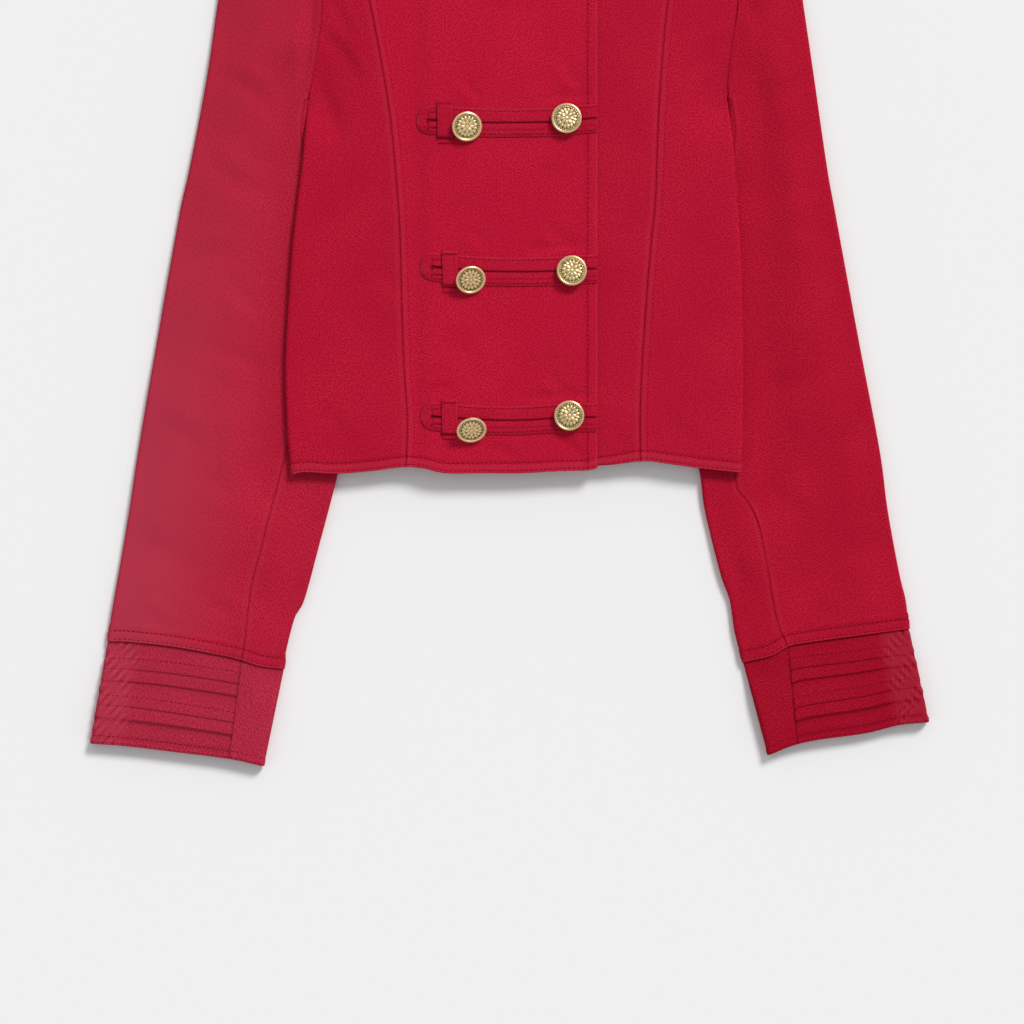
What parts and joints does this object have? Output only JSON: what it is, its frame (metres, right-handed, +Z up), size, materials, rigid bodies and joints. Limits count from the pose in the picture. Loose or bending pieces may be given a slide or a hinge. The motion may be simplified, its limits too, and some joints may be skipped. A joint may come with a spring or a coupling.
{
  "type": "cropped military jacket",
  "caption": "Cropped collarless military jacket laid flat, with princess seams, banded cuffs and tab closings with shank buttons.",
  "frame": {"origin": "under the middle of the garment's box, on the surface that it lies on", "axes": "+Z up out of the front, +Y towards the neck, +X towards the wearer's left"},
  "size_m": [0.5889, 0.6734, 0.032],
  "materials": {
    "red_twill": "matt cotton twill with a fine diagonal rib",
    "red_tape": "matt double tape of the same red cotton",
    "aged_gold": "pale antique gold, worn brighter on the rim"
  },
  "bodies": {
    "root": {"back": "red_twill", "front_side_right": "red_twill", "front_side_left": "red_twill", "front_centre_right": "red_twill", "front_centre_left": "red_twill", "sleeve_upper_right": "red_twill", "sleeve_upper_left": "red_twill", "sleeve_under_right": "red_twill", "sleeve_under_left": "red_twill", "cuff_upper_right": "red_twill", "cuff_upper_left": "red_twill", "cuff_under_right": "red_twill", "cuff_under_left": "red_twill", "tab_1": "red_tape", "tab_2": "red_tape", "tab_3": "red_tape", "loop_1": "red_tape", "loop_2": "red_tape", "loop_3": "red_tape", "button_1_outer": "aged_gold", "button_1_inner": "aged_gold", "button_2_outer": "aged_gold", "button_2_inner": "aged_gold", "button_3_outer": "aged_gold", "button_3_inner": "aged_gold"}
  },
  "joints": []
}
